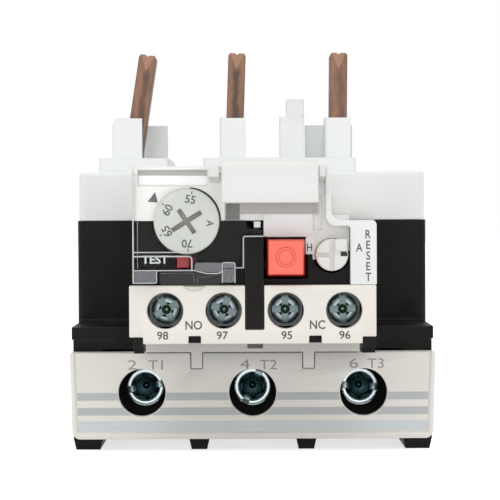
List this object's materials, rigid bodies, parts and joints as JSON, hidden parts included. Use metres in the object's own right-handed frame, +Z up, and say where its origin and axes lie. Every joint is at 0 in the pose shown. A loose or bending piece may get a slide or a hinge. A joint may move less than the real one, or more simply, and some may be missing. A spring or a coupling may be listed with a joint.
{
  "type": "thermal overload relay",
  "caption": "Thermal overload relay with connection pins, clamp terminals behind a screwdriver cover, auxiliary screws, setting dial, stop and reset controls and a hinged clear cover.",
  "frame": {"origin": "middle of the footprint, at the underside of the feet", "axes": "+Z up, +X to the right seen from the front, +Y away from the front face"},
  "size_m": [0.07, 0.103, 0.0789],
  "materials": {
    "black_housing": "satin",
    "white_housing": "satin",
    "cream_cover": "satin",
    "clear_cover": "polished",
    "flap": "satin",
    "steel": "zinc plated",
    "copper": "tarnished",
    "bimetal": "rolled",
    "mechanism": "moulded",
    "dial": "satin",
    "test_red": "satin",
    "stop_red": "satin",
    "knob": "satin"
  },
  "bodies": {
    "casing": {"terminal_base": "black_housing", "heater_housing": "black_housing", "upper_housing": "white_housing", "front_housing": "black_housing", "front_hood": "white_housing", "terminal_cover": "cream_cover", "cover_bridge": "cream_cover", "aux_strip": "cream_cover", "reset_panel": "white_housing", "cover_hinge_pin": "steel", "aux_bars": "copper", "test_spring": "steel", "stop_spring": "steel", "reset_spring": "steel", "pin_lead_left": "copper", "pin_lead_middle": "copper", "pin_lead_right": "copper", "terminal_bar_left": "copper", "terminal_bar_middle": "copper", "terminal_bar_right": "copper"},
    "main_slide": {"main_slider": "mechanism", "differential_lever": "mechanism"},
    "differential_slide": {"differential_slider": "mechanism"},
    "lever": {"trip_lever": "mechanism"},
    "rocker": {"contact_rocker": "mechanism", "contact_bridges": "copper", "trip_flag": "flap"},
    "dial": {"current_dial": "dial", "dial_cam": "mechanism"},
    "adjuster": {"adjusting_slide": "mechanism"},
    "tester": {"test_slider": "test_red"},
    "stop": {"stop_button": "stop_red"},
    "plunger": {"reset_plunger": "mechanism"},
    "knob": {"reset_knob": "knob"},
    "window": {"window_cover": "clear_cover"},
    "flap": {"marker_flap": "flap"},
    "pin_left": {"pin_left": "copper"},
    "bimetal_left": {"bimetal_left": "bimetal", "heater_left": "bimetal"},
    "cage_left": {"clamp_cage_left": "steel"},
    "clamp_screw_left": {"clamp_screw_left": "steel"},
    "pin_middle": {"pin_middle": "copper"},
    "bimetal_middle": {"bimetal_middle": "bimetal", "heater_middle": "bimetal"},
    "cage_middle": {"clamp_cage_middle": "steel"},
    "clamp_screw_middle": {"clamp_screw_middle": "steel"},
    "pin_right": {"pin_right": "copper"},
    "bimetal_right": {"bimetal_right": "bimetal", "heater_right": "bimetal"},
    "cage_right": {"clamp_cage_right": "steel"},
    "clamp_screw_right": {"clamp_screw_right": "steel"},
    "washer_98": {"aux_washer_98": "steel"},
    "screw_98": {"aux_screw_98": "steel"},
    "washer_97": {"aux_washer_97": "steel"},
    "screw_97": {"aux_screw_97": "steel"},
    "washer_95": {"aux_washer_95": "steel"},
    "screw_95": {"aux_screw_95": "steel"},
    "washer_96": {"aux_washer_96": "steel"},
    "screw_96": {"aux_screw_96": "steel"}
  },
  "joints": [
    {"name": "pin_left_lean", "type": "hinge", "parent": "casing", "child": "pin_left", "pos_m": [-0.02565, 0.0131, 0.05], "axis": [0, 1, 0], "range_deg": [-8.6, 0.6]},
    {"name": "pin_middle_lean", "type": "hinge", "parent": "casing", "child": "pin_middle", "pos_m": [-0.00385, 0.0131, 0.05], "axis": [0, 1, 0], "range_deg": [-2, 7]},
    {"name": "pin_right_lean", "type": "hinge", "parent": "casing", "child": "pin_right", "pos_m": [0.01795, 0.0131, 0.05], "axis": [0, 1, 0], "range_deg": [-0.6, 8.4]},
    {"name": "main_slider_travel", "type": "slide", "parent": "casing", "child": "main_slide", "axis": [1, 0, 0], "range_m": [0, 0.0015]},
    {"name": "differential_slider_travel", "type": "slide", "parent": "casing", "child": "differential_slide", "axis": [1, 0, 0], "range_m": [0, 0.0015]},
    {"name": "bimetal_left_bend", "type": "hinge", "parent": "casing", "child": "bimetal_left", "pos_m": [-0.0247, 0.03, 0.025], "axis": [0, 1, 0], "range_deg": [0, 5.6]},
    {"name": "bimetal_middle_bend", "type": "hinge", "parent": "casing", "child": "bimetal_middle", "pos_m": [-0.0035, 0.03, 0.025], "axis": [0, 1, 0], "range_deg": [0, 5.6]},
    {"name": "bimetal_right_bend", "type": "hinge", "parent": "casing", "child": "bimetal_right", "pos_m": [0.0177, 0.03, 0.025], "axis": [0, 1, 0], "range_deg": [0, 5.6]},
    {"name": "trip_lever_turn", "type": "hinge", "parent": "casing", "child": "lever", "pos_m": [0.0105, -0.024, 0.044], "axis": [0, 0, 1], "range_deg": [-6, 0]},
    {"name": "contact_rocker_turn", "type": "hinge", "parent": "casing", "child": "rocker", "pos_m": [0.00035, -0.03, 0.036], "axis": [0, 1, 0], "range_deg": [-7.3, 0]},
    {"name": "current_dial_turn", "type": "hinge", "parent": "casing", "child": "dial", "pos_m": [-0.012, -0.045, 0.0442], "axis": [0, -1, 0], "range_deg": [-128, 66]},
    {"name": "adjusting_slide_travel", "type": "slide", "parent": "casing", "child": "adjuster", "axis": [1, 0, 0], "range_m": [-0.00089, 0.00046]},
    {"name": "test_slide", "type": "slide", "parent": "casing", "child": "tester", "axis": [1, 0, 0], "range_m": [0, 0.001], "stiffness_N_per_m": 80, "springref_m": -0.003, "deforming": ["test_spring"]},
    {"name": "stop_push", "type": "slide", "parent": "casing", "child": "stop", "axis": [0, 1, 0], "range_m": [0, 0.003], "stiffness_N_per_m": 300, "springref_m": -0.002, "deforming": ["stop_spring"]},
    {"name": "reset_push", "type": "slide", "parent": "casing", "child": "plunger", "axis": [0, 1, 0], "range_m": [0, 0.0023], "stiffness_N_per_m": 300, "springref_m": -0.002, "deforming": ["reset_spring"]},
    {"name": "reset_knob_turn", "type": "hinge", "parent": "plunger", "child": "knob", "pos_m": [0.01445, -0.045, 0.038], "axis": [0, -1, 0], "range_deg": [0, 90]},
    {"name": "window_cover_open", "type": "hinge", "parent": "casing", "child": "window", "pos_m": [0.00265, -0.0492, 0.0532], "axis": [-1, 0, 0], "range_deg": [0, 100]},
    {"name": "marker_flap_lift", "type": "hinge", "parent": "window", "child": "flap", "pos_m": [0.0031, -0.0492, 0.0532], "axis": [-1, 0, 0], "range_deg": [0, 85]},
    {"name": "clamp_screw_left_turn", "type": "hinge", "parent": "casing", "child": "clamp_screw_left", "pos_m": [-0.0212, -0.005, 0.0114], "axis": [0, 1, 0], "range_deg": [0, 1980]},
    {"name": "clamp_cage_left_pull", "type": "slide", "parent": "casing", "child": "cage_left", "axis": [0, -1, 0], "range_m": [0, 0.0055]},
    {"name": "clamp_screw_middle_turn", "type": "hinge", "parent": "casing", "child": "clamp_screw_middle", "pos_m": [0, -0.005, 0.0114], "axis": [0, 1, 0], "range_deg": [0, 1980]},
    {"name": "clamp_cage_middle_pull", "type": "slide", "parent": "casing", "child": "cage_middle", "axis": [0, -1, 0], "range_m": [0, 0.0055]},
    {"name": "clamp_screw_right_turn", "type": "hinge", "parent": "casing", "child": "clamp_screw_right", "pos_m": [0.0212, -0.005, 0.0114], "axis": [0, 1, 0], "range_deg": [0, 1980]},
    {"name": "clamp_cage_right_pull", "type": "slide", "parent": "casing", "child": "cage_right", "axis": [0, -1, 0], "range_m": [0, 0.0055]},
    {"name": "aux_washer_98_press", "type": "slide", "parent": "casing", "child": "washer_98", "axis": [0, 1, 0], "range_m": [0, 0.0018]},
    {"name": "aux_screw_98_turn", "type": "hinge", "parent": "washer_98", "child": "screw_98", "pos_m": [-0.01595, -0.038, 0.0279], "axis": [0, 1, 0], "range_deg": [0, 1080]},
    {"name": "aux_washer_97_press", "type": "slide", "parent": "casing", "child": "washer_97", "axis": [0, 1, 0], "range_m": [0, 0.0018]},
    {"name": "aux_screw_97_turn", "type": "hinge", "parent": "washer_97", "child": "screw_97", "pos_m": [-0.0053, -0.038, 0.0279], "axis": [0, 1, 0], "range_deg": [0, 1080]},
    {"name": "aux_washer_95_press", "type": "slide", "parent": "casing", "child": "washer_95", "axis": [0, 1, 0], "range_m": [0, 0.0018]},
    {"name": "aux_screw_95_turn", "type": "hinge", "parent": "washer_95", "child": "screw_95", "pos_m": [0.006, -0.038, 0.0279], "axis": [0, 1, 0], "range_deg": [0, 1080]},
    {"name": "aux_washer_96_press", "type": "slide", "parent": "casing", "child": "washer_96", "axis": [0, 1, 0], "range_m": [0, 0.0018]},
    {"name": "aux_screw_96_turn", "type": "hinge", "parent": "washer_96", "child": "screw_96", "pos_m": [0.01665, -0.038, 0.0279], "axis": [0, 1, 0], "range_deg": [0, 1080]}
  ],
  "couplings": [
    {"joint": "clamp_screw_left_turn", "follows": "clamp_cage_left_pull", "rad_per_m": 6283},
    {"joint": "clamp_screw_middle_turn", "follows": "clamp_cage_middle_pull", "rad_per_m": 6283},
    {"joint": "clamp_screw_right_turn", "follows": "clamp_cage_right_pull", "rad_per_m": 6283},
    {"joint": "aux_screw_98_turn", "follows": "aux_washer_98_press", "rad_per_m": 10471},
    {"joint": "aux_screw_97_turn", "follows": "aux_washer_97_press", "rad_per_m": 10471},
    {"joint": "aux_screw_95_turn", "follows": "aux_washer_95_press", "rad_per_m": 10471},
    {"joint": "aux_screw_96_turn", "follows": "aux_washer_96_press", "rad_per_m": 10471},
    {"joint": "differential_slider_travel", "follows": "main_slider_travel", "ratio": 1},
    {"joint": "trip_lever_turn", "follows": "main_slider_travel", "rad_per_m": -66.7},
    {"joint": "contact_rocker_turn", "follows": "main_slider_travel", "rad_per_m": -83.3},
    {"joint": "current_dial_turn", "follows": "adjusting_slide_travel", "rad_per_m": 2500},
    {"joint": "bimetal_left_bend", "follows": "main_slider_travel", "rad_per_m": 64.5},
    {"joint": "bimetal_middle_bend", "follows": "main_slider_travel", "rad_per_m": 64.5},
    {"joint": "bimetal_right_bend", "follows": "main_slider_travel", "rad_per_m": 64.5}
  ]
}
